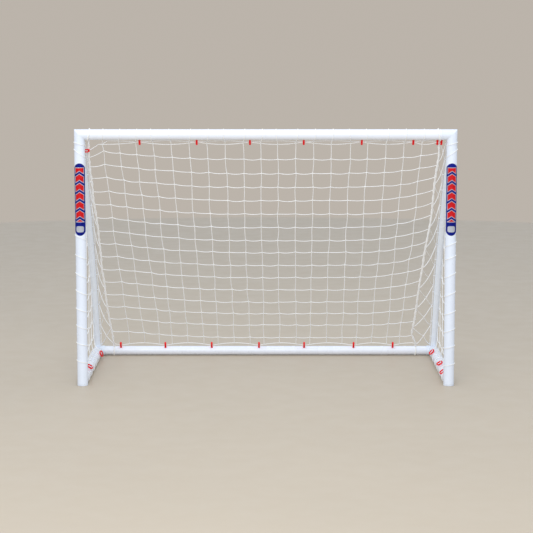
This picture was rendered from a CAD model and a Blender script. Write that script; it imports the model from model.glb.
"""A portable mini handball goal: white plastic tube frame, knotted twine net and red net clips.

Metres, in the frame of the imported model: +X to the right as seen from the field, +Y from the posts
to the rear bar, +Z up from the floor.
"""

import math

import bmesh
import bpy
import numpy as np
from mathutils import Matrix, Vector


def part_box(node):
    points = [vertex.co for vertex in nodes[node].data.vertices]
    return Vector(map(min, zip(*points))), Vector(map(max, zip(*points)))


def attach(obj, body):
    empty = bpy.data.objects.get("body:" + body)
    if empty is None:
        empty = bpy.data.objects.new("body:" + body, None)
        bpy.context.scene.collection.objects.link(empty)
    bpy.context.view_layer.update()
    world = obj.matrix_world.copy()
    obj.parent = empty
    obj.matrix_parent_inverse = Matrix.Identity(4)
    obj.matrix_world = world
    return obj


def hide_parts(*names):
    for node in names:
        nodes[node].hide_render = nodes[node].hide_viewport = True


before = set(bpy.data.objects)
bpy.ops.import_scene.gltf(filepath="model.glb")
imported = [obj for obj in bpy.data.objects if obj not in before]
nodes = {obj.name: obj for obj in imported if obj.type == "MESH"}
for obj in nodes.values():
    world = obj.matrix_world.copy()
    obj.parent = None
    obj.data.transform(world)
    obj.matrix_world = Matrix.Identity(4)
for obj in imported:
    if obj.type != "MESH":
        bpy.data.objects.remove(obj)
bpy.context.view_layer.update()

# The camera stands in front of the mouth, above eye height, and looks down a little at the whole goal
# through a long lens, so that the posts stay nearly upright in the picture.
camera_data = bpy.data.cameras.new("camera")
camera_data.lens = 113.25
camera_data.sensor_width = 36.0
camera_data.shift_x = 0.0015
camera_data.shift_y = -0.06
camera = bpy.data.objects.new("camera", camera_data)
camera.location = (0.0, -11.167, 2.327)
camera.rotation_euler = (math.radians(90.0 - 7.17), 0.0, 0.0)
bpy.context.scene.collection.objects.link(camera)
bpy.context.scene.camera = camera
bpy.context.scene.view_settings.view_transform = "Standard"

# The stage: a plain pale floor under the goal and a plain pale backdrop. The floor is one wide round
# sheet, and the backdrop is the world's colour as the camera sees it.
FLOOR_RADIUS = 9.0


def add_node(tree, kind, values=None, links=None, **settings):
    """Add a shader node with its settings, its input values and what feeds its inputs."""
    node = tree.nodes.new(kind)
    for name, value in settings.items():
        setattr(node, name, value)
    for name, value in (values or {}).items():
        node.inputs[name].default_value = value
    for name, source in (links or {}).items():
        tree.links.new(source, node.inputs[name])
    return node


def new_material(name, roughness, metallic=0.0):
    """Start a Principled material and give its shader and its Object coordinates."""
    material = bpy.data.materials.new(name)
    material.use_nodes = True
    shader = material.node_tree.nodes["Principled BSDF"]
    shader.inputs["Roughness"].default_value = roughness
    shader.inputs["Metallic"].default_value = metallic
    place = add_node(material.node_tree, "ShaderNodeTexCoord").outputs["Object"]
    return material, shader, place


def noise(place, scale, detail=3.0, stretch=(1.0, 1.0, 1.0)):
    """Noise on a stretched place, as one number from 0 to 1."""
    tree = place.id_data
    mapped = add_node(tree, "ShaderNodeMapping", {"Scale": stretch}, {"Vector": place})
    texture = add_node(tree, "ShaderNodeTexNoise", {"Scale": scale, "Detail": detail},
                       {"Vector": mapped.outputs["Vector"]})
    return texture.outputs["Fac"]


def ramp(value, from_low, from_high, to_low, to_high):
    """Carry a number from one range to another, held at its ends."""
    values = {"From Min": from_low, "From Max": from_high, "To Min": to_low, "To Max": to_high}
    node = add_node(value.id_data, "ShaderNodeMapRange", values, {"Value": value}, clamp=True)
    return node.outputs["Result"]


def mix(share, first, second):
    """Mix two colours; each is four numbers or the output of another mix."""
    node = add_node(share.id_data, "ShaderNodeMix", links={"Factor": share}, data_type="RGBA")
    for socket, colour in ((node.inputs[6], first), (node.inputs[7], second)):
        if hasattr(colour, "is_output"):
            share.id_data.links.new(colour, socket)
        else:
            socket.default_value = colour
    return node.outputs[2]


def paint(shader, colour, roughness, height=None, strength=0.0, depth=0.0):
    """Feed the shader's colour, roughness and bump from what the nodes give."""
    tree = shader.id_data
    tree.links.new(colour, shader.inputs["Base Color"])
    tree.links.new(roughness, shader.inputs["Roughness"])
    if height is not None:
        bump = add_node(tree, "ShaderNodeBump", {"Strength": strength, "Distance": depth},
                        {"Height": height})
        tree.links.new(bump.outputs["Normal"], shader.inputs["Normal"])


def add_mesh(name, bm, materials=(), smooth_angle=35.0):
    """Turn a bmesh into an object at the origin, smooth but for its sharp edges."""
    mesh = bpy.data.meshes.new(name)
    bm.to_mesh(mesh)
    bm.free()
    mesh.shade_smooth()
    mesh.set_sharp_from_angle(angle=math.radians(smooth_angle))
    for material in materials:
        mesh.materials.append(material)
    obj = bpy.data.objects.new(name, mesh)
    bpy.context.scene.collection.objects.link(obj)
    return obj


def transform(bm, matrix):
    """Move every vertex of a bmesh by a matrix."""
    bmesh.ops.transform(bm, matrix=matrix, verts=bm.verts)


def face_out(bm):
    """Turn every face of a bmesh outward."""
    bmesh.ops.recalc_face_normals(bm, faces=bm.faces)


floor_paint, floor_shader, floor_place = new_material("floor_paint", 0.45)
floor_clouds = noise(floor_place, 0.8)
floor_colour = mix(floor_clouds, (0.51, 0.435, 0.335, 1.0), (0.545, 0.465, 0.36, 1.0))
floor_roughness = ramp(noise(floor_place, 6.0), 0.3, 0.7, 0.40, 0.50)
paint(floor_shader, floor_colour, floor_roughness)
bm = bmesh.new()
bmesh.ops.create_circle(bm, cap_ends=True, segments=128, radius=FLOOR_RADIUS)
floor = add_mesh("floor", bm, [floor_paint])

world = bpy.data.worlds.new("studio")
world.use_nodes = True
bpy.context.scene.world = world
studio = world.node_tree
sky = studio.nodes["Background"]
sky.inputs["Color"].default_value = (0.88, 0.93, 1.0, 1.0)
sky.inputs["Strength"].default_value = 0.80
backdrop = add_node(studio, "ShaderNodeBackground", {"Color": (0.50, 0.455, 0.405, 1.0), "Strength": 1.0})
rays = add_node(studio, "ShaderNodeLightPath").outputs
seen = add_node(studio, "ShaderNodeMath", operation="ADD", use_clamp=True, links={
    0: rays["Is Camera Ray"], 1: rays["Is Transmission Ray"]})
choice = add_node(studio, "ShaderNodeMixShader", links={
    0: seen.outputs["Value"], 1: sky.outputs["Background"], 2: backdrop.outputs["Background"]})
studio.links.new(choice.outputs["Shader"], studio.nodes["World Output"].inputs["Surface"])


def add_lamp(name, place, aim, size, power):
    """Hang one soft square lamp that faces a point."""
    lamp = bpy.data.lights.new(name, "AREA")
    lamp.shape = "SQUARE"
    lamp.size = size
    lamp.energy = power
    lamp.color = (0.97, 0.985, 1.0)
    obj = bpy.data.objects.new(name, lamp)
    obj.location = place
    obj.rotation_euler = (Vector(aim) - Vector(place)).to_track_quat("-Z", "Y").to_euler()
    obj.visible_camera = False
    bpy.context.scene.collection.objects.link(obj)


add_lamp("overhead_lamp", (0.0, -1.0, 6.0), (0.0, 0.0, 0.5), size=6.0, power=85.0)
add_lamp("front_lamp", (-1.0, -8.0, 4.5), (0.0, 0.0, 0.8), size=5.0, power=340.0)

# Posts: straight lengths of white plastic tube, 68 mm across, cut square with their edges eased. Each
# stands in a moulded end cap, and the bolt of the foot sleeve goes through its wall.
SPAN = 2.44
HEIGHT = 1.66
DEPTH = 1.0
TUBE_RADIUS = 0.034
WALL = 0.003
TUBE_BORE = TUBE_RADIUS - WALL
EDGE = 0.0006
FIT = 0.0003
AROUND = 64
TINY = 0.000001
POST_X = SPAN / 2 - TUBE_RADIUS
POST_Y = -DEPTH / 2
REAR_Y = DEPTH / 2
TOP_Z = HEIGHT - TUBE_RADIUS
BASE_Z = TUBE_RADIUS
SIDES = (("left", -1), ("right", 1))
X_AXIS = Vector((1.0, 0.0, 0.0))
Y_AXIS = Vector((0.0, 1.0, 0.0))
Z_AXIS = Vector((0.0, 0.0, 1.0))
ALONG_X = Matrix.Rotation(math.radians(90.0), 4, "Y")
ALONG_Y = Matrix.Rotation(math.radians(-90.0), 4, "X")


def split(place):
    """The X, Y and Z of a place, as outputs."""
    return add_node(place.id_data, "ShaderNodeSeparateXYZ", links={"Vector": place}).outputs


def number(operation, first, second=None):
    """One step of arithmetic on an output, alone or with a number or another output."""
    node = add_node(first.id_data, "ShaderNodeMath", links={0: first}, operation=operation)
    if hasattr(second, "is_output"):
        first.id_data.links.new(second, node.inputs[1])
    elif second is not None:
        node.inputs[1].default_value = second
    return node.outputs["Value"]


def white_plastic(name, colour, grain, roughness):
    """Glossy white plastic: faint lines along the grain's axis, soft clouds and scuffs near the floor."""
    material, shader, place = new_material(name, roughness)
    stretch = [45.0, 45.0, 45.0]
    if grain is not None:
        stretch[grain] = 0.7
    lines = noise(place, 6.0, 3.0, stretch)
    clouds = noise(place, 5.0, 4.0)
    base = mix(ramp(clouds, 0.3, 0.7, 0.0, 1.0), colour,
               tuple(0.975 * part for part in colour[:3]) + (1.0,))
    height = split(place)["Z"]
    low = ramp(height, 0.0, SCUFF_TOP, 1.0, 0.0)
    specks = ramp(noise(place, 70.0, 8.0, (1.0, 1.0, 0.35)), 0.58, 0.72, 0.0, 0.22)
    worn = mix(number("MULTIPLY", low, specks), base, (0.42, 0.40, 0.38, 1.0))
    gloss = ramp(noise(place, 14.0, 5.0), 0.3, 0.7, roughness - 0.05, roughness + 0.08)
    paint(shader, worn, gloss, lines, 0.10, 0.0004)
    return material


def turn(points, closed):
    """Spin an outline of (radius, height) points once round the Z axis."""
    bm = bmesh.new()
    verts = [bm.verts.new((radius, 0.0, height)) for radius, height in points]
    edges = [bm.edges.new(pair) for pair in zip(verts, verts[1:])]
    if closed:
        edges.append(bm.edges.new((verts[-1], verts[0])))
    bmesh.ops.spin(bm, geom=verts + edges, cent=(0, 0, 0), axis=(0, 0, 1), dvec=(0, 0, 0),
                   angle=2 * math.pi, steps=AROUND, use_merge=True)
    bmesh.ops.remove_doubles(bm, verts=bm.verts, dist=TINY)
    face_out(bm)
    return bm


def tube(low, high, radius, bore):
    """A cut length of tube along Z with eased ends."""
    outline = [(radius - EDGE, low), (radius, low + EDGE), (radius, high - EDGE), (radius - EDGE, high),
               (bore + EDGE, high), (bore, high - EDGE), (bore, low + EDGE), (bore + EDGE, low)]
    return turn(outline, True)


def rod(start, end, radius, steps=32):
    """A round solid between two points, used to cut holes."""
    axis = end - start
    bm = bmesh.new()
    bmesh.ops.create_cone(bm, cap_ends=True, segments=steps, radius1=radius, radius2=radius,
                          depth=axis.length)
    turned = axis.to_track_quat("Z", "Y").to_matrix().to_4x4()
    transform(bm, Matrix.Translation((start + end) / 2) @ turned)
    return bm


def cut(piece, tools):
    """Cut each tool's shape out of a piece and keep the result as its mesh."""
    for tool in tools:
        cutter = add_mesh("cutter", tool)
        modifier = piece.modifiers.new("cut", "BOOLEAN")
        modifier.operation = "DIFFERENCE"
        modifier.solver = "EXACT"
        modifier.object = cutter
        bpy.context.view_layer.update()
        ready = piece.evaluated_get(bpy.context.evaluated_depsgraph_get())
        mesh = bpy.data.meshes.new_from_object(ready)
        piece.modifiers.clear()
        old = piece.data
        piece.data = mesh
        bpy.data.meshes.remove(old)
        mesh.name = piece.name
        bpy.data.objects.remove(cutter, do_unlink=True)
    piece.data.shade_smooth()
    piece.data.set_sharp_from_angle(angle=math.radians(30.0))


def settle(piece, node):
    """Let a piece stand for a CAD node, ride on the frame and take its finish from a slot."""
    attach(piece, "frame")
    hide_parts(node)


CAP_HEIGHT = 0.011
CAP_PLUG = 0.010
CAP_ROUND = 0.002
SCUFF_TOP = 0.11
TOP_LEG = 0.100
BOLT_HOLE = 0.0043
BOLT_HOLE_START = 0.015
BOLT_HOLE_DEPTH = 0.03
upright_plastic = white_plastic("upright_plastic", (0.79, 0.85, 0.96, 1.0), 2, 0.24)
moulded_plastic = white_plastic("moulded_plastic", (0.775, 0.835, 0.945, 1.0), None, 0.30)
for side, sign in SIDES:
    axis = Matrix.Translation((sign * POST_X, POST_Y, 0.0))
    bm = tube(CAP_HEIGHT, HEIGHT - TOP_LEG, TUBE_RADIUS, TUBE_BORE)
    transform(bm, axis)
    post = add_mesh(f"post_{side}_tube", bm, [upright_plastic])
    bolt_front = Vector((sign * POST_X, POST_Y + BOLT_HOLE_START, BASE_Z))
    cut(post, [rod(bolt_front, bolt_front + BOLT_HOLE_DEPTH * Y_AXIS, BOLT_HOLE)])
    settle(post, f"post_{side}")
    shoulder = CAP_HEIGHT - FIT
    plug = CAP_HEIGHT + CAP_PLUG
    outline = [(0.0, 0.0), (TUBE_RADIUS - CAP_ROUND, 0.0), (TUBE_RADIUS - EDGE, EDGE),
               (TUBE_RADIUS, CAP_ROUND), (TUBE_RADIUS, shoulder - EDGE), (TUBE_RADIUS - EDGE, shoulder),
               (TUBE_BORE - FIT, shoulder), (TUBE_BORE - FIT, plug - EDGE), (TUBE_BORE - FIT - EDGE, plug),
               (0.0, plug)]
    bm = turn(outline, False)
    transform(bm, axis)
    foot_cap = add_mesh(f"foot_cap_{side}_moulding", bm, [moulded_plastic])
    settle(foot_cap, f"foot_cap_{side}")

# Top corners: moulded elbows with a mitre ridge. A sleeve of each goes down into the post and one goes
# into the crossbar, where a snap button holds it, and the strut's top end stands in a hole at the back.
SLEEVE = 0.075
SLEEVE_RADIUS = TUBE_BORE - FIT
SLEEVE_BORE = SLEEVE_RADIUS - WALL
RIDGE_WIDTH = 0.0022
BUTTON_HOLE = 0.0053
BUTTON_HOLE_SPAN = (0.02, 0.04)
BUTTON_FROM_END = 0.020
TOP_BUTTON_X = SPAN / 2 - TOP_LEG - BUTTON_FROM_END
STRUT_RADIUS = 0.020
STRUT_BORE = 0.0175
STRUT_START = math.radians(45.0)
STRUT_PLUG = 0.020
CHORD = math.hypot(DEPTH, TOP_Z - BASE_Z)
STRUT_SWEEP = 2 * (STRUT_START - math.atan2(DEPTH, TOP_Z - BASE_Z))
STRUT_BEND = CHORD / (2 * math.sin(STRUT_SWEEP / 2))


def bow_centre(sign):
    """The point that a strut's bow is bent round."""
    return Vector((sign * POST_X, POST_Y - STRUT_BEND * math.cos(STRUT_START),
                   TOP_Z - STRUT_BEND * math.sin(STRUT_START)))


def on_strut(sign, lean):
    """The point on a strut's axis where it leans by this angle from the upright."""
    return bow_centre(sign) + STRUT_BEND * Vector((0.0, math.cos(lean), math.sin(lean)))


def strut_skin(bm, sign, radius, start, sweep, steps):
    """Spin one circle along a stretch of a strut's bow; gives the edges of its two end rings."""
    lay = Matrix.Translation(on_strut(sign, start)) @ Matrix.Rotation(start, 4, "X")
    ring = bmesh.ops.create_circle(bm, segments=AROUND // 2, radius=radius, matrix=lay)["verts"]
    first = list({edge for vert in ring for edge in vert.link_edges})
    spun = bmesh.ops.spin(bm, geom=ring + first, cent=bow_centre(sign), axis=(1, 0, 0), dvec=(0, 0, 0),
                          angle=-sweep, steps=steps)
    last = [part for part in spun["geom_last"] if isinstance(part, bmesh.types.BMEdge)]
    return first, last


def strut_hole(sign, start, sweep):
    """The bowed solid that cuts the hole for a strut's end."""
    bm = bmesh.new()
    first, last = strut_skin(bm, sign, STRUT_RADIUS + FIT, start, sweep, 6)
    bmesh.ops.contextual_create(bm, geom=first)
    bmesh.ops.contextual_create(bm, geom=last)
    face_out(bm)
    return bm


def elbow(outer, inner):
    """A hollow mitred elbow from (distance, radius) steps round its skin.

    Steps below 0 lie down the first leg, which runs down Z from the corner, and steps above 0 lie along
    the other leg, which runs along X. A step at 0 is the mitre.
    """
    bm = bmesh.new()
    mitre = Matrix(((1, 0, 0, 0), (0, 1, 0, 0), (-1, 0, 1, 0), (0, 0, 0, 1)))
    ring = bmesh.ops.create_circle(bm, segments=AROUND, radius=1.0)["verts"]
    edges = list({edge for vert in ring for edge in vert.link_edges})
    lay = Matrix.Identity(4)
    ridge = None
    for step, (distance, radius) in enumerate(outer + inner[::-1] + outer[:1]):
        if step:
            grown = bmesh.ops.extrude_edge_only(bm, edges=edges)["geom"]
            ring = [part for part in grown if isinstance(part, bmesh.types.BMVert)]
            fresh = set(ring)
            edges = list({edge for vert in ring for edge in vert.link_edges if set(edge.verts) <= fresh})
        before = lay
        lay = Matrix.Diagonal((radius, radius, 1.0, 1.0))
        if distance < 0.0:
            lay = Matrix.Translation((0.0, 0.0, distance)) @ lay
        elif distance > 0.0:
            lay = Matrix.Translation((distance, 0.0, 0.0)) @ ALONG_X @ lay
        else:
            lay = mitre @ lay
        bmesh.ops.transform(bm, matrix=lay @ before.inverted(), verts=ring)
        if distance == 0.0 and ridge is None:
            ridge = edges
    bmesh.ops.remove_doubles(bm, verts=bm.verts, dist=TINY)
    bmesh.ops.bevel(bm, geom=ridge, offset=RIDGE_WIDTH, segments=3, profile=0.5, affect="EDGES", material=-1)
    face_out(bm)
    return bm


def button_hole(place, outward):
    """The rod that cuts a snap button's hole through the tubes round this place on their axis."""
    start, end = BUTTON_HOLE_SPAN
    return rod(place + start * outward, place + end * outward, BUTTON_HOLE)


for side, sign in SIDES:
    leg = TOP_LEG - TUBE_RADIUS
    face = leg - FIT
    outer = [(-leg - SLEEVE, SLEEVE_RADIUS), (-face, SLEEVE_RADIUS), (-face, TUBE_RADIUS - EDGE),
             (-face + EDGE, TUBE_RADIUS), (0.0, TUBE_RADIUS), (face - EDGE, TUBE_RADIUS),
             (face, TUBE_RADIUS - EDGE), (face, SLEEVE_RADIUS), (leg + SLEEVE, SLEEVE_RADIUS)]
    inner = [(-leg - SLEEVE, SLEEVE_BORE), (0.0, SLEEVE_BORE), (leg + SLEEVE, SLEEVE_BORE)]
    bm = elbow(outer, inner)
    corner_place = Matrix.Translation((sign * POST_X, POST_Y, TOP_Z)) @ Matrix.Diagonal((-sign, 1, 1, 1))
    transform(bm, corner_place)
    face_out(bm)
    top_corner = add_mesh(f"top_corner_{side}_moulding", bm, [moulded_plastic])
    button_place = Vector((sign * TOP_BUTTON_X, POST_Y, TOP_Z))
    cut(top_corner, [strut_hole(sign, STRUT_START, STRUT_PLUG * 2 / STRUT_BEND),
                     button_hole(button_place, Y_AXIS)])
    settle(top_corner, f"top_corner_{side}")

# Crossbar: two halves of the same tube, butted in the middle over an inner sleeve. Near each corner a
# hole at the back lets the snap button through.
lying_plastic = white_plastic("lying_plastic", (0.82, 0.86, 0.95, 1.0), 0, 0.24)


def add_half_bars(name, middle, length, radius, bore, button_x):
    """The two halves of a bar along X, each with the hole for its snap button."""
    for side, sign in SIDES:
        bm = tube(FIT / 2, length, radius, bore)
        lay = Matrix.Translation(middle) @ (ALONG_X if sign > 0 else ALONG_X.inverted())
        transform(bm, lay)
        bar = add_mesh(f"{name}_{side}_tube", bm, [lying_plastic])
        cut(bar, [button_hole(middle + sign * button_x * X_AXIS, Y_AXIS)])
        settle(bar, f"{name}_{side}")


add_half_bars("crossbar", Vector((0.0, POST_Y, TOP_Z)), SPAN / 2 - TOP_LEG, TUBE_RADIUS, TUBE_BORE,
              TOP_BUTTON_X)
nodes["crossbar_coupler"].material_slots[0].material = moulded_plastic

# Base bars: the same tube laid on the floor from each post to the rear corner. The front end is coped
# to fit round the post, over a sleeve that is bolted to it and locked by a snap button on the outside.
REAR_LEG = 0.082
COPE_BELOW = 0.05
COPE_ABOVE = 0.12
REAR_SEAM_Y = REAR_Y + TUBE_RADIUS - REAR_LEG
runner_plastic = white_plastic("runner_plastic", (0.82, 0.86, 0.95, 1.0), 1, 0.27)
for side, sign in SIDES:
    bm = tube(0.0, REAR_SEAM_Y - FIT - POST_Y, TUBE_RADIUS, TUBE_BORE)
    lay = Matrix.Translation((sign * POST_X, POST_Y, BASE_Z)) @ ALONG_Y
    transform(bm, lay)
    base_bar = add_mesh(f"base_bar_{side}_tube", bm, [runner_plastic])
    foot = Vector((sign * POST_X, POST_Y, 0.0))
    button_place = foot + Vector((0.0, TUBE_RADIUS + FIT + BUTTON_FROM_END, BASE_Z))
    cope = rod(foot - COPE_BELOW * Z_AXIS, foot + COPE_ABOVE * Z_AXIS, TUBE_RADIUS + FIT, AROUND)
    cut(base_bar, [cope, button_hole(button_place, sign * X_AXIS)])
    settle(base_bar, f"base_bar_{side}")
    nodes[f"foot_sleeve_{side}"].material_slots[0].material = moulded_plastic

# Rear corners: moulded floor elbows. A sleeve goes forward into the base bar, the thinner rear bar
# slides into a socket, and the strut's lower end stands in a hole in the elbow's top.
REAR_SOCKET = 0.0195
REAR_BUTTON_FROM_END = 0.0095
REAR_BUTTON_X = SPAN / 2 - REAR_LEG + REAR_SOCKET - REAR_BUTTON_FROM_END
for side, sign in SIDES:
    leg = REAR_LEG - TUBE_RADIUS
    outer = [(-leg - SLEEVE, SLEEVE_RADIUS), (-leg, SLEEVE_RADIUS), (-leg, TUBE_RADIUS - EDGE),
             (-leg + EDGE, TUBE_RADIUS), (0.0, TUBE_RADIUS), (leg - EDGE, TUBE_RADIUS),
             (leg, TUBE_RADIUS - EDGE)]
    inner = [(-leg - SLEEVE, SLEEVE_BORE), (0.0, SLEEVE_BORE), (leg - REAR_SOCKET - FIT, SLEEVE_BORE),
             (leg - REAR_SOCKET - FIT, TUBE_BORE), (leg, TUBE_BORE)]
    bm = elbow(outer, inner)
    flat = Matrix(((-sign, 0, 0, 0), (0, 0, 1, 0), (0, 1, 0, 0), (0, 0, 0, 1)))
    corner_place = Matrix.Translation((sign * POST_X, REAR_Y, BASE_Z)) @ flat
    transform(bm, corner_place)
    face_out(bm)
    rear_corner = add_mesh(f"rear_corner_{side}_moulding", bm, [moulded_plastic])
    rear_button = Vector((sign * REAR_BUTTON_X, REAR_Y, BASE_Z))
    hole_start = STRUT_START - STRUT_SWEEP + STRUT_PLUG * 2 / STRUT_BEND
    cut(rear_corner, [strut_hole(sign, hole_start, STRUT_PLUG * 2 / STRUT_BEND),
                      button_hole(rear_button, Y_AXIS)])
    settle(rear_corner, f"rear_corner_{side}")

# Rear bar: two halves of the thinner tube, joined in the middle over a sleeve like the crossbar's.
add_half_bars("rear_bar", Vector((0.0, REAR_Y, BASE_Z)), SPAN / 2 - REAR_LEG + REAR_SOCKET, SLEEVE_RADIUS,
              SLEEVE_BORE, REAR_BUTTON_X)
nodes["rear_bar_coupler"].material_slots[0].material = moulded_plastic

# Struts: slimmer tube, 40 mm across, bent to a long bow behind the posts. Each end is pushed into a hole
# in a corner piece and holds the frame square.
strut_plastic = white_plastic("strut_plastic", (0.85, 0.91, 1.0, 1.0), 2, 0.24)
for side, sign in SIDES:
    bm = bmesh.new()
    start = STRUT_START - STRUT_PLUG / STRUT_BEND
    sweep = STRUT_SWEEP - 2 * STRUT_PLUG / STRUT_BEND
    strut_skin(bm, sign, STRUT_RADIUS, start, sweep, 60)
    face_out(bm)
    bmesh.ops.solidify(bm, geom=bm.faces[:], thickness=STRUT_RADIUS - STRUT_BORE)
    face_out(bm)
    strut = add_mesh(f"strut_{side}_tube", bm, [strut_plastic])
    settle(strut, f"strut_{side}")

# Snap locks and foot bolts: spring-steel leaves with a button, their rivets, and zinc-plated bolts. Only
# the buttons show, each through a hole in its outer tube, and each moves with its own leaf.
steel, steel_shader, steel_place = new_material("brushed_steel", 0.32, 1.0)
brushing = noise(steel_place, 260.0, 4.0, (0.15, 0.15, 1.0))
steel_colour = mix(brushing, (0.50, 0.50, 0.52, 1.0), (0.66, 0.66, 0.67, 1.0))
paint(steel_shader, steel_colour, ramp(brushing, 0.2, 0.8, 0.24, 0.42), brushing, 0.2, 0.0002)
for side, sign in SIDES:
    for site in ("top", "base", "rear"):
        for part in ("button", "rivet"):
            nodes[f"lock_{site}_{side}_{part}"].material_slots[0].material = steel
    nodes[f"foot_bolt_{side}"].material_slots[0].material = steel

# Stickers: a glossy vinyl sheet with round ends, bent round the front of each post. The field is blue,
# with white-edged red chevrons up its middle and a plain white block near the foot.
LABEL_DROP = 0.215
LABEL_LENGTH = 0.464
LABEL_THICKNESS = 0.0004
LABEL_HIGH = HEIGHT - LABEL_DROP
LABEL_LOW = LABEL_HIGH - LABEL_LENGTH
LABEL_RADIUS = TUBE_RADIUS + LABEL_THICKNESS
LABEL_REACH = math.radians(75.0)
LABEL_FOLDS = 20
CHEVRON_PITCH = 0.058
CHEVRON_SLANT = 0.42
CHEVRON_MIDDLE = 0.030
BLOCK_DROP = 0.190
BLOCK_HALF_HEIGHT = 0.020
BLOCK_HALF_WIDTH = 0.70
PAPER_WHITE = (0.80, 0.82, 0.88, 1.0)


def inside(value, limit, soft):
    """1 where a number is below its limit and 0 above it, with a soft edge."""
    return ramp(value, limit - soft, limit + soft, 1.0, 0.0)


label_middle = (LABEL_LOW + LABEL_HIGH) / 2
label_vinyl, label_shader, label_place = new_material("label_vinyl", 0.42)
label_shader.inputs["Specular IOR Level"].default_value = 0.2
parts = split(label_place)
from_post = number("SUBTRACT", number("ABSOLUTE", parts["X"]), POST_X)
across = number("ABSOLUTE", number("DIVIDE", from_post, TUBE_RADIUS))
up = number("SUBTRACT", parts["Z"], label_middle)
slanted = number("ADD", number("DIVIDE", up, CHEVRON_PITCH), number("MULTIPLY", across, CHEVRON_SLANT))
phase = number("FRACT", number("ADD", slanted, 20.0))
from_chevron = number("ABSOLUTE", number("SUBTRACT", phase, 0.5))
from_middle = number("ABSOLUTE", number("SUBTRACT", up, CHEVRON_MIDDLE))


def chevrons(half_width, half_height, stripe):
    """Where one colour of the chevrons lies: within a stripe of each, in a zone up the middle."""
    zone = number("MULTIPLY", inside(across, half_width, 0.02), inside(from_middle, half_height, 0.001))
    return number("MULTIPLY", zone, inside(from_chevron, stripe, 0.02))


red_share = chevrons(half_width=0.74, half_height=0.172, stripe=0.31)
white_share = chevrons(half_width=0.81, half_height=0.176, stripe=0.38)
block_up = number("DIVIDE", number("ADD", up, BLOCK_DROP), BLOCK_HALF_HEIGHT)
block_across = number("DIVIDE", across, BLOCK_HALF_WIDTH)
block_size = number("ADD", number("POWER", block_across, 4.0),
                    number("POWER", number("ABSOLUTE", block_up), 4.0))
block_share = inside(block_size, 1.0, 0.08)
ink = noise(label_place, 60.0, 4.0)
blue = mix(ink, (0.004, 0.014, 0.36, 1.0), (0.008, 0.024, 0.44, 1.0))
under_red = mix(white_share, blue, PAPER_WHITE)
with_red = mix(red_share, under_red, (0.97, 0.022, 0.030, 1.0))
label_colour = mix(block_share, with_red, PAPER_WHITE)
label_roughness = ramp(ink, 0.3, 0.7, 0.36, 0.48)
paint(label_shader, label_colour, label_roughness, ink, 0.05, 0.0002)

half_width = LABEL_RADIUS * math.sin(LABEL_REACH)
half_height = LABEL_LENGTH / 2
for side, sign in SIDES:
    bm = bmesh.new()
    outline = bmesh.ops.create_circle(bm, cap_ends=True, segments=64, radius=half_width)["verts"]
    for vert in outline:
        rise = half_height - half_width
        vert.co.y += rise if vert.co.y > -TINY else -rise
    for step in range(1 - LABEL_FOLDS, LABEL_FOLDS):
        fold = LABEL_RADIUS * math.sin(step * LABEL_REACH / LABEL_FOLDS)
        everything = bm.verts[:] + bm.edges[:] + bm.faces[:]
        bmesh.ops.bisect_plane(bm, geom=everything, dist=TINY, plane_co=(fold, 0, 0), plane_no=(1, 0, 0))
    for vert in bm.verts:
        deep = math.sqrt(LABEL_RADIUS ** 2 - vert.co.x ** 2)
        vert.co = (sign * POST_X + vert.co.x, POST_Y - deep, label_middle + vert.co.y)
    bmesh.ops.solidify(bm, geom=bm.faces[:], thickness=LABEL_THICKNESS)
    face_out(bm)
    label = add_mesh(f"post_label_{side}_vinyl", bm, [label_vinyl])
    settle(label, f"post_label_{side}")

# Net clips: red moulded hooks, open on one side, that snap to the tubes and carry the net's edge cords.
# They stand on the crossbar and rear bar towards each other, and lie inboard of the top on the base bars.
CLIP_LENGTH = 0.045
CLIP_WIDTH = 0.022
CLIP_WALL = 0.0072
CLIP_THICKNESS = 0.012
CLIP_EDGE = 0.0011
CLIP_MOUTH = (0.0115, 0.0165)
CLIP_FOOT_RADIUS = 0.0085
CLIP_NECK_RADIUS = 0.0068
CLIP_FOOT_HEIGHT = 0.004
END_CLIP_STEP = 0.026
BASE_ANGLES = {"left": (30.0, 72.0), "right": (30.0, 48.0)}
FRONT_CLIP_DEPTH = 0.11
FRONT_CLIP_ANGLE = 40.0
NET_SLOPE = Vector((0.0, DEPTH, BASE_Z - TOP_Z)).normalized()
red_plastic, red_shader, red_place = new_material("red_plastic", 0.42)
red_shader.inputs["Specular IOR Level"].default_value = 0.22
red_clouds = noise(red_place, 90.0, 4.0)
red_colour = mix(red_clouds, (0.88, 0.006, 0.010, 1.0), (0.76, 0.004, 0.007, 1.0))
red_roughness = ramp(red_clouds, 0.3, 0.7, 0.36, 0.52)
paint(red_shader, red_colour, red_roughness, red_clouds, 0.1, 0.0003)


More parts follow.
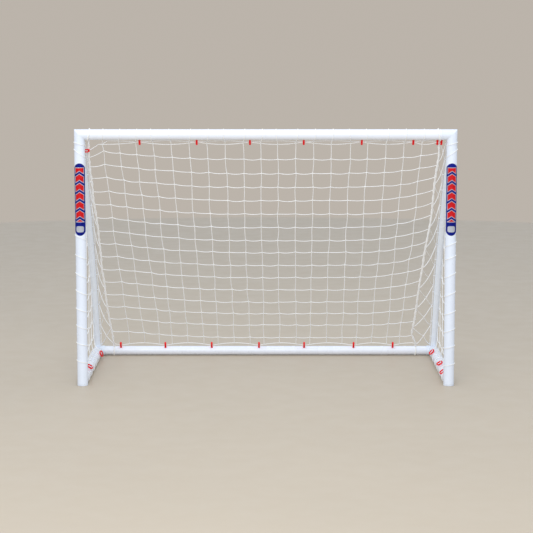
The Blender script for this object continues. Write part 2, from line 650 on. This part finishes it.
def make_clip(node, tube_centre, tube_radius, outward, along, lying=False):
    """One hook on a round foot: it stands on its end on a tube, open to one side, or lies, open outward."""
    bm = bmesh.new()
    ring = bmesh.ops.create_circle(bm, segments=28, radius=CLIP_WIDTH / 2)["verts"]
    grown = bmesh.ops.extrude_edge_only(bm, edges=bm.edges[:])["geom"]
    bore = [part for part in grown if isinstance(part, bmesh.types.BMVert)]
    shrink = 1.0 - 2 * CLIP_WALL / CLIP_WIDTH
    bmesh.ops.scale(bm, vec=(shrink, shrink, 1.0), verts=bore)
    for vert in bm.verts:
        rise = (CLIP_LENGTH - CLIP_WIDTH) / 2
        vert.co.y += rise if vert.co.y > -TINY else -rise
    bm.faces.ensure_lookup_table()
    mouth = [face for face in bm.faces if face.calc_center_median().x > 0.0
             and CLIP_MOUTH[0] < face.calc_center_median().y < CLIP_MOUTH[1]]
    bmesh.ops.delete(bm, geom=mouth, context="FACES")
    bmesh.ops.solidify(bm, geom=bm.faces[:], thickness=CLIP_THICKNESS)
    middle = sum(vert.co.z for vert in bm.verts) / len(bm.verts)
    bmesh.ops.translate(bm, vec=(0.0, 0.0, -middle), verts=bm.verts)
    face_out(bm)
    sharp = [edge for edge in bm.edges if edge.calc_face_angle(0.0) > 1.0]
    bmesh.ops.bevel(bm, geom=sharp, offset=CLIP_EDGE, segments=2, profile=0.5, affect="EDGES", material=-1)
    foot = bmesh.ops.create_cone(bm, cap_ends=True, segments=24, radius1=CLIP_FOOT_RADIUS,
                                 radius2=CLIP_NECK_RADIUS, depth=CLIP_FOOT_HEIGHT)
    if lying:
        lay = Matrix.Translation((-CLIP_WIDTH / 2, 0.0, 0.0)) @ Matrix.Rotation(math.radians(90.0), 4, "Y")
        turned = Matrix((outward, along.cross(outward), along)).transposed().to_4x4()
        reach = CLIP_WIDTH / 2
    else:
        lay = Matrix.Translation((0.0, -CLIP_LENGTH / 2, 0.0)) @ Matrix.Rotation(math.radians(-90.0), 4, "X")
        turned = Matrix((outward.cross(along), outward, along)).transposed().to_4x4()
        reach = CLIP_LENGTH / 2
    bmesh.ops.transform(bm, matrix=lay, verts=foot["verts"])
    centre = tube_centre + outward * (tube_radius + FIT + reach)
    transform(bm, Matrix.Translation(centre) @ turned)
    face_out(bm)
    clip = add_mesh(f"{node}_hook", bm, [red_plastic], smooth_angle=40.0)
    if node in nodes:
        settle(clip, node)
    else:
        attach(clip, "frame")


def middle_of(node):
    """The middle of a CAD node's box."""
    low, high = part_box(node)
    return (low + high) / 2


for node in sorted(nodes):
    if node.startswith("clip_crossbar_"):
        make_clip(node, Vector((middle_of(node).x, POST_Y, TOP_Z)), TUBE_RADIUS, NET_SLOPE, X_AXIS)
    elif node.startswith("clip_rear_"):
        make_clip(node, Vector((middle_of(node).x, REAR_Y, BASE_Z)), SLEEVE_RADIUS, -NET_SLOPE, X_AXIS)
last_place = Vector((middle_of("clip_crossbar_7").x + END_CLIP_STEP, POST_Y, TOP_Z))
make_clip("clip_crossbar_end", last_place, TUBE_RADIUS, NET_SLOPE, X_AXIS)
for side, sign in SIDES:
    placed = [(f"clip_base_{side}_{place}", middle_of(f"clip_base_{side}_{place}").y, angle)
              for place, angle in enumerate(BASE_ANGLES[side], start=1)]
    if side == "right":
        placed.append(("clip_base_right_front", POST_Y + FRONT_CLIP_DEPTH, FRONT_CLIP_ANGLE))
    for node, depth, angle in placed:
        outward = Matrix.Rotation(-sign * math.radians(angle), 3, "Y") @ Z_AXIS
        make_clip(node, Vector((sign * POST_X, depth, BASE_Z)), TUBE_RADIUS, outward, Y_AXIS, lying=True)
inward_back = (X_AXIS + Y_AXIS).normalized()
post_clip_place = Vector((-POST_X, POST_Y, middle_of("clip_post_left").z))
make_clip("clip_post_left", post_clip_place, TUBE_RADIUS, inward_back, inward_back.cross(Z_AXIS))

# Back net: one panel of knotted white twine, about 120 mm to a mesh. Its column cords loop over the
# crossbar, two head cords run below it from clip to clip, and a foot cord runs in the rear bar's clips.
TWINE_RADIUS = 0.0025
KNOT_RADIUS = 1.75 * TWINE_RADIUS
LACING_WEIGHT = 2.0
CORD_STEPS = 4
LOOP_STEPS = 28
LOOP_GAP = 0.0022
NET_HANG = 0.0073
BELLY = 0.005
ROW_SAG = (0.0045, 0.0025)
KNOT_DRIFT = 0.0035
KNOT_RISE = 0.0016
TIE_SWING = 0.012
TWIST_RATE = 900.0
UPPER_HEAD = 0.004
LOWER_HEAD = 0.020
HEAD_AT_CLIP = 0.0095
FOOT_AT_CLIP = 0.0065
FOOT_BETWEEN = 0.019
SEAM_END = 0.985
UPPER_SPAN = (-1.01, 1.11, 160)
LOWER_SPAN = (-1.07, 1.11, 160)
FOOT_SPAN = (-1.05, 1.03, 150)
CORD_ENDS = (-1.25, 1.16)
COLUMN_LEVELS = (0.023, 0.486, 0.937)
COLUMNS = ((-1.118, -1.015, -0.961), (-1.047, -1.010, -0.961), (-0.940, -0.904, -0.855),
           (-0.832, -0.797, -0.747), (-0.721, -0.690, -0.660), (-0.605, -0.578, -0.548),
           (-0.490, -0.470, -0.434), (-0.377, -0.358, -0.336), (-0.259, -0.244, -0.222),
           (-0.144, -0.138, -0.111), (-0.032, -0.027, -0.013), (0.077, 0.083, 0.099), (0.193, 0.196, 0.212),
           (0.305, 0.311, 0.310), (0.418, 0.423, 0.425), (0.544, 0.536, 0.538), (0.653, 0.648, 0.633),
           (0.769, 0.762, 0.743), (0.884, 0.868, 0.853), (0.999, 0.981, 0.939), (1.110, 1.086, 1.029))
ROW_SHARES = (0.021, 0.084, 0.147, 0.210, 0.272, 0.334, 0.397, 0.459, 0.517, 0.580, 0.641, 0.703, 0.765,
              0.824, 0.885, 0.951)
SEAM_LINES = {"left": (1.129, 1.137, 1.137, 1.130, 1.131, 1.122, 1.115, 1.114, 1.110, 1.112, 1.102, 1.100,
                       1.095, 1.086, 1.074, 1.069),
              "right": (1.105, 1.114, 1.105, 1.099, 1.098, 1.097, 1.090, 1.078, 1.068, 1.063, 1.053, 1.047,
                        1.042, 1.035, 1.022, 1.066)}
NET_TOP = Vector((0.0, POST_Y, TOP_Z)) + NET_SLOPE * (TUBE_RADIUS + NET_HANG)
NET_FOOT = Vector((0.0, REAR_Y, BASE_Z)) - NET_SLOPE * (SLEEVE_RADIUS + NET_HANG)
NET_FACE = Vector((0.0, -NET_SLOPE.z, NET_SLOPE.y))
generator = np.random.default_rng(4)

twine, twine_shader, twine_place = new_material("white_twine", 0.75)
twine_shader.inputs["Sheen Weight"].default_value = 0.25
twine_shader.inputs["Sheen Roughness"].default_value = 0.5
along_twine = add_node(twine.node_tree, "ShaderNodeAttribute", attribute_name="lay",
                       attribute_type="GEOMETRY")
lay_parts = split(along_twine.outputs["Vector"])
twist = number("SINE", number("ADD", number("MULTIPLY", lay_parts["X"], TWIST_RATE),
                                     number("MULTIPLY", lay_parts["Y"], 2.0)))
fibres = noise(twine_place, 700.0, 3.0)
twine_height = number("ADD", twist, fibres)
strand = ramp(twist, -1.0, 0.2, 0.0, 1.0)
twine_colour = mix(strand, (0.86, 0.87, 0.88, 1.0), (0.95, 0.95, 0.95, 1.0))
twine_roughness = ramp(fibres, 0.3, 0.7, 0.65, 0.85)
paint(twine_shader, twine_colour, twine_roughness, twine_height, 0.5, 0.0005)


def sag(start, end, drop):
    """Points of a cord from knot to knot, hanging by drop in its middle; the end is left out."""
    points = []
    for step in range(CORD_STEPS):
        share = step / CORD_STEPS
        hang = Vector((0.0, 0.0, -4.0 * drop * share * (1.0 - share)))
        points.append(start.lerp(end, share) + hang)
    return points


def add_cords(name, paths, knots, heavy_paths=()):
    """Turn paths into round cords and knots into small balls, in one mesh."""
    curve = bpy.data.curves.new(name, "CURVE")
    curve.dimensions = "3D"
    curve.bevel_depth = TWINE_RADIUS
    curve.bevel_resolution = 1
    curve.use_fill_caps = True
    for weight, group in ((1.0, paths), (LACING_WEIGHT, heavy_paths)):
        for path in group:
            spline = curve.splines.new("POLY")
            spline.points.add(len(path) - 1)
            for point, place in zip(spline.points, path):
                point.co = (*place, 1.0)
                point.radius = weight
    holder = bpy.data.objects.new(name, curve)
    bpy.context.scene.collection.objects.link(holder)
    bpy.context.view_layer.update()
    ready = holder.evaluated_get(bpy.context.evaluated_depsgraph_get())
    mesh = bpy.data.meshes.new_from_object(ready)
    bpy.data.objects.remove(holder, do_unlink=True)
    bpy.data.curves.remove(curve)
    bm = bmesh.new()
    bm.from_mesh(mesh)
    bpy.data.meshes.remove(mesh)
    for place in knots:
        spin = Matrix.Rotation(generator.uniform(0.0, math.pi), 4, "X")
        swell = generator.uniform(0.9, 1.15)
        shape = Matrix.Diagonal((1.25 * swell, 0.85 * swell, 1.05 * swell, 1.0))
        bmesh.ops.create_icosphere(bm, subdivisions=2, radius=KNOT_RADIUS,
                                   matrix=Matrix.Translation(place) @ spin @ shape)
    obj = add_mesh(name, bm, [twine], smooth_angle=60.0)
    lay = obj.data.attributes.new("lay", "FLOAT_VECTOR", "POINT")
    places = np.zeros(len(obj.data.vertices) * 3)
    obj.data.vertices.foreach_get("co", places)
    places = places.reshape(-1, 3)
    values = np.zeros_like(places)
    values[:, 0] = places @ np.array((0.62, 0.55, 0.56))
    across = places[:, 1:] * TWIST_RATE % 2.0 - 1.0
    values[:, 1] = np.arctan2(across[:, 0], across[:, 1])
    lay.data.foreach_set("vector", values.ravel())
    return obj


def loop_round(centre, axis, side, radius, lean):
    """Points of a cord looped once round a tube, leaning along it towards one side."""
    other = axis.cross(side)
    points = []
    for step in range(LOOP_STEPS + 1):
        angle = 2 * math.pi * step / LOOP_STEPS
        reach = (radius + LOOP_GAP) * (math.cos(angle) * side + math.sin(angle) * other)
        point = centre + reach + axis * (lean * math.cos(angle) / 2)
        point.z = max(point.z, TWINE_RADIUS / 2)
        points.append(point)
    return points


def tie_round(knot, swing):
    """A closed loop that leaves a knot, goes round the crossbar and comes back to the knot."""
    bar_axis = Vector((knot.x, POST_Y, TOP_Z))
    reach = knot - bar_axis
    open_angle = math.acos((TUBE_RADIUS + LOOP_GAP) / reach.length)
    path = [knot]
    for step in range(25):
        angle = open_angle + (2 * math.pi - 2 * open_angle) * step / 24
        turned = Matrix.Rotation(angle, 3, "X") @ reach.normalized() * (TUBE_RADIUS + LOOP_GAP)
        path.append(bar_axis + turned + Vector((swing * math.sin(angle / 2), 0.0, 0.0)))
    return path + [knot]


def on_net(x, share):
    """The point of the hung back net at this distance across and this share of the way down."""
    belly = BELLY * math.sin(math.pi * min(max(share, 0.0), 1.0)) * max(0.0, 1.0 - (x / 1.15) ** 2)
    return NET_TOP.lerp(NET_FOOT, share) + Vector((x, 0.0, 0.0)) - NET_FACE * belly


def lift(column, row):
    """How far up a row is drawn near the seams, as a share of the net's length."""
    near_left = max(0.0, 1.0 - max(0.0, column - 1.0) / 8.0)
    near_right = max(0.0, 1.0 - (20.0 - column) / 5.0)
    left = 0.042 * near_left ** 2 * np.interp(row, (1, 3, 6, 11, 15), (0.85, 1.0, 1.05, 0.9, 0.75))
    right = 0.044 * near_right ** 2.5 * np.interp(row, (1, 3, 6, 11, 15), (0.62, 1.0, 1.3, 1.0, 0.25))
    slipped = (0.030, 0.011, 0.004, 0.003)[row - 1] if column == 0 and row < 5 else 0.0
    return float(left + right) - slipped


def seam_at(side, share):
    """How far from the middle a seam runs at this share of the way down."""
    return float(np.interp(share * 15.0, range(16), SEAM_LINES[side]))


bar_clips = sorted(middle_of(node).x for node in nodes if node.startswith("clip_crossbar_"))
rear_clips = sorted(middle_of(node).x for node in nodes if node.startswith("clip_rear_"))


def between_clips(x, clips, at_clip, between):
    """A height that is at_clip in each clip and swings out to between in the middle of each span."""
    inner = [place for place in clips if place <= x]
    outer = [place for place in clips if place > x]
    low = inner[-1] if inner else CORD_ENDS[0]
    high = outer[0] if outer else CORD_ENDS[1]
    share = (x - low) / (high - low)
    return at_clip + (between - at_clip) * math.sin(math.pi * share)


def head_share(x, between):
    """Share of the way down at which a head cord runs: through the clips, and out between them."""
    return between_clips(x, bar_clips, HEAD_AT_CLIP, between)


def foot_share(x):
    """Share of the way down at which the foot cord runs: through the rear clips, and up between them."""
    return 1.0 - between_clips(x, rear_clips, FOOT_AT_CLIP, FOOT_BETWEEN)


def back_knot(column, row):
    """Where a column cord and a row cord are knotted."""
    share = ROW_SHARES[row] - (lift(column, row) if row else 0.0)
    x = float(np.interp(ROW_SHARES[row], COLUMN_LEVELS, COLUMNS[column]))
    if row == 0:
        share = head_share(x, LOWER_HEAD)
    if column == 0:
        x = -seam_at("left", share)
    elif column == 20:
        x = seam_at("right", share)
    elif row:
        x += KNOT_DRIFT * wobble[column, row]
        share += KNOT_RISE * wobble[20 - column, row]
    return on_net(x, share)


wobble = generator.uniform(-1.0, 1.0, (21, 16))
knot_grid = [[back_knot(column, row) for row in range(16)] for column in range(21)]
cords = []
for column in range(1, 20):
    path = []
    for row in range(15):
        bend = Vector((0.002 * wobble[column, row], 0.0, 0.0))
        length = sag(knot_grid[column][row], knot_grid[column][row + 1], 0.0)
        path += [length[0]] + [point + bend for point in length[1:]]
    end = knot_grid[column][15]
    cords.append(path + [end, on_net(end.x, foot_share(end.x))])
for row in range(1, 16):
    path = []
    for column in range(20):
        drop = ROW_SAG[0] + ROW_SAG[1] * wobble[column, row]
        path += sag(knot_grid[column][row], knot_grid[column + 1][row], drop)
    cords.append(path + [knot_grid[20][row]])
upper_cord = [on_net(x, head_share(x, UPPER_HEAD)) for x in np.linspace(*UPPER_SPAN)]
cords.append([knot_grid[1][0]] + upper_cord)
head_cord = [on_net(x, head_share(x, LOWER_HEAD)) for x in np.linspace(*LOWER_SPAN)]
cords.append(sag(on_net(-1.143, 0.050), head_cord[0], 0.003) + head_cord)
foot_line = [on_net(x, foot_share(x)) for x in np.linspace(*FOOT_SPAN)]
foot_line.insert(0, on_net(-seam_at("left", SEAM_END), SEAM_END))
foot_line.append(on_net(seam_at("right", SEAM_END), SEAM_END))
cords.append(foot_line)
for column in range(1, 20):
    cords.append(tie_round(knot_grid[column][0], math.copysign(TIE_SWING, wobble[column, 0])))
knots = [knot_grid[column][row] for column in range(1, 20) for row in range(16)]
back_net = add_cords("net_back_twine", cords, knots)
settle(back_net, "net_back")

# Side nets: a three-cornered panel from the post to the strut on each side, and a narrow strip behind the
# strut that is laced to the back net. The cords loop round the post, strut and base bar, and hang slack.
POST_ROWS = {"left": (1.568, 1.455, 1.345, 1.235, 1.125, 1.040, 0.969, 0.843, 0.722, 0.611, 0.496, 0.385,
                      0.274, 0.159, 0.0773),
             "right": (1.568, 1.455, 1.345, 1.235, 1.125, 1.030, 0.924, 0.838, 0.724, 0.601, 0.479, 0.364,
                       0.255, 0.139, 0.0773)}
SIDE_LOW = BASE_Z + TUBE_RADIUS + NET_HANG
SIDE_HIGH = TOP_Z - 0.030
STRUT_CLEAR = 0.0045
STRIP_LEVELS = 11
PANEL_SPARE = 1.035
STRIP_SPARE = 1.012
UPRIGHT_SPARE = 1.008
BASE_LOOPS = (0.10, 0.25, 0.41, 0.56, 0.71, 0.86)
EXTRA_LOOP_HEIGHT = 1.508
HANG_ROUNDS = 1400
HANG_FALL = 0.00012
HANG_OVERSHOOT = 1.3
LOOP_LEAN = (0.028, 0.008)
LEAN_FADE = 0.3
LABEL_ROOM = (0.01, 0.05)
EXTRA_LOOP_LEAN = 0.052
BASE_LOOP_LEAN = 0.014
TOP_TIE_LEAN = 0.018
FOOT_TIE_LEAN = 0.006
LACING_STEPS = 60
LACING_SWAY = 0.0036


def hang(places, held, links, slack):
    """Let a net of short cord lengths fall into its hanging shape; held points stay where they are."""
    points = np.array(places, float)
    first = np.array([link[0] for link in links])
    second = np.array([link[1] for link in links])
    rest = np.linalg.norm(points[first] - points[second], axis=1) * np.array(slack)
    count = np.bincount(np.concatenate((first, second)), minlength=len(points))[:, None]
    free = ~np.array(held)
    weight = free.astype(float)
    total = np.maximum(weight[first] + weight[second], 0.001)
    for round_number in range(HANG_ROUNDS):
        points[free, 2] -= HANG_FALL * (1.0 - round_number / HANG_ROUNDS)
        for _ in range(4):
            gap = points[second] - points[first]
            length = np.linalg.norm(gap, axis=1)
            stretch = np.maximum(length - rest, 0.0) / np.maximum(length, 1e-9)
            move = np.zeros_like(points)
            np.add.at(move, first, gap * (stretch * weight[first] / total)[:, None])
            np.add.at(move, second, -gap * (stretch * weight[second] / total)[:, None])
            points += HANG_OVERSHOOT * move / count
    return points


def strut_edge(sign, height):
    """How far back the rear of a strut is at this height, with room for a cord."""
    lean = math.asin(math.sin(STRUT_START) + (height - TOP_Z) / STRUT_BEND)
    return on_strut(sign, lean).y + (STRUT_RADIUS + STRUT_CLEAR) / math.cos(lean)


def side_strands(side, sign):
    """Places, held points and cord runs of one side net: the panel and then the strip."""
    rows = POST_ROWS[side]
    front = POST_Y + TUBE_RADIUS + TWINE_RADIUS
    places = []
    held = []

    def spot(x, y, z, fixed):
        places.append((sign * x, y, z))
        held.append(fixed)
        return len(places) - 1

    panel_rows, wraps = [], []
    last_row = len(rows) - 1
    for row, height in enumerate(rows):
        edge = strut_edge(sign, height)
        outside = POST_X + STRUT_RADIUS + STRUT_CLEAR
        line = []
        for column in range((row + 1) // 2):
            share = 2 * column / row
            against_post = column == 0 and row > 2
            x = POST_X if against_post or row == last_row else outside
            fixed = column == 0 or row == last_row
            line.append(spot(x, front + share * (edge - front), height, fixed))
        end = spot(outside, edge, height, True)
        line.append(end)
        panel_rows.append(line)
        inner = spot(POST_X - STRUT_RADIUS - STRUT_CLEAR, edge, height, True)
        wraps.append([end, inner])
    panel_runs = [line for line in panel_rows if len(line) > 1]
    for column in range(len(rows) // 2):
        panel_runs.append([line[column] for line in panel_rows[2 * column:] if column < len(line)])
    panel_runs.append([line[-1] for line in panel_rows])
    strip_runs = wraps + [[inner for end, inner in wraps]]
    rungs = []
    for level in range(STRIP_LEVELS):
        share = level / (STRIP_LEVELS - 1)
        height = SIDE_HIGH + (SIDE_LOW - SIDE_HIGH) * share
        seam = NET_TOP.lerp(NET_FOOT, min(share, SEAM_END))
        inner = spot(POST_X - STRUT_RADIUS - STRUT_CLEAR, strut_edge(sign, height), height, True)
        rungs.append((inner, spot(seam_at(side, share), seam.y, seam.z, True)))
    for (inner, seam), (next_inner, next_seam) in zip(rungs, rungs[1:]):
        x, y, z = np.mean([places[index] for index in (inner, seam, next_inner, next_seam)], axis=0)
        crossing = spot(sign * x, y, z, False)
        strip_runs += [[inner, crossing, next_seam], [seam, crossing, next_inner]]
    return places, held, panel_runs, strip_runs


def hang_side(side, sign):
    """Hang one side net, and give the paths and knots of its panel and of its strip."""
    places, held, panel_runs, strip_runs = side_strands(side, sign)
    links, slack, filled = [], [], []
    for runs, spare in ((panel_runs, PANEL_SPARE), (strip_runs, STRIP_SPARE)):
        group = []
        for run in runs:
            indices = []
            for start, end in zip(run, run[1:]):
                a, b = np.array(places[start]), np.array(places[end])
                upright = abs(b - a)[2] > 0.6 * np.linalg.norm(b - a)
                chain = [start]
                for step in range(1, CORD_STEPS):
                    places.append(tuple(a + (b - a) * step / CORD_STEPS))
                    held.append(False)
                    chain.append(len(places) - 1)
                chain.append(end)
                indices += chain[:-1]
                for one, two in zip(chain, chain[1:]):
                    links.append((one, two))
                    slack.append(UPRIGHT_SPARE if upright else spare)
            group.append(indices + [run[-1]])
        filled.append(group)
    points = hang(places, held, links, slack)
    out = []
    for group, runs in zip(filled, (panel_runs, strip_runs)):
        knots = sorted({index for run in runs for index in run})
        out.append(([[Vector(points[i]) for i in run] for run in group], [Vector(points[i]) for i in knots]))
    return out


for side, sign in SIDES:
    (panel_paths, panel_knots), (strip_paths, strip_knots) = hang_side(side, sign)
    post_axis = Vector((sign * POST_X, POST_Y, 0.0))
    outboard = Vector((sign, 0.0, 0.0))
    for number_down, height in enumerate(POST_ROWS[side][:-1]):
        if height < LABEL_LOW - LABEL_ROOM[0] or height > LABEL_HIGH + LABEL_ROOM[1]:
            lean = (LOOP_LEAN[0] + LOOP_LEAN[1] * wobble[number_down, 3]) * min(1.0, height / LEAN_FADE)
            panel_paths.append(loop_round(post_axis + Z_AXIS * height, Z_AXIS, outboard, TUBE_RADIUS, lean))
    extra_loop = post_axis + Z_AXIS * EXTRA_LOOP_HEIGHT
    panel_paths.append(loop_round(extra_loop, Z_AXIS, outboard, TUBE_RADIUS, EXTRA_LOOP_LEAN))
    for depth in BASE_LOOPS:
        centre = Vector((sign * POST_X, POST_Y + depth, BASE_Z))
        panel_paths.append(loop_round(centre, Y_AXIS, Z_AXIS, TUBE_RADIUS, BASE_LOOP_LEAN))
    panel = add_cords(f"net_{side}_twine", panel_paths, panel_knots)
    settle(panel, f"net_{side}")
    top_centre = Vector((sign * seam_at(side, 0.0), POST_Y, TOP_Z))
    top_tie = loop_round(top_centre, X_AXIS, NET_SLOPE, TUBE_RADIUS, sign * TOP_TIE_LEAN)
    lacing = [top_tie[:], top_tie[-1:]]
    for step in range(LACING_STEPS + 1):
        share = step / LACING_STEPS * SEAM_END
        point = NET_TOP.lerp(NET_FOOT, share) + Vector((sign * seam_at(side, share), 0.0, 0.0))
        turned = step * math.pi / 2
        weave = LACING_SWAY * (math.cos(turned) * X_AXIS + math.sin(turned) * NET_FACE)
        lacing[0].append(point + weave)
        lacing[1].append(point - weave)
    foot_centre = Vector((sign * seam_at(side, SEAM_END), REAR_Y, BASE_Z))
    foot_tie = loop_round(foot_centre, X_AXIS, -NET_SLOPE, SLEEVE_RADIUS, FOOT_TIE_LEAN)
    lacing[0] += foot_tie
    lacing[1].append(foot_tie[-1])
    strip = add_cords(f"net_strip_{side}_twine", strip_paths, strip_knots, lacing)
    settle(strip, f"net_strip_{side}")
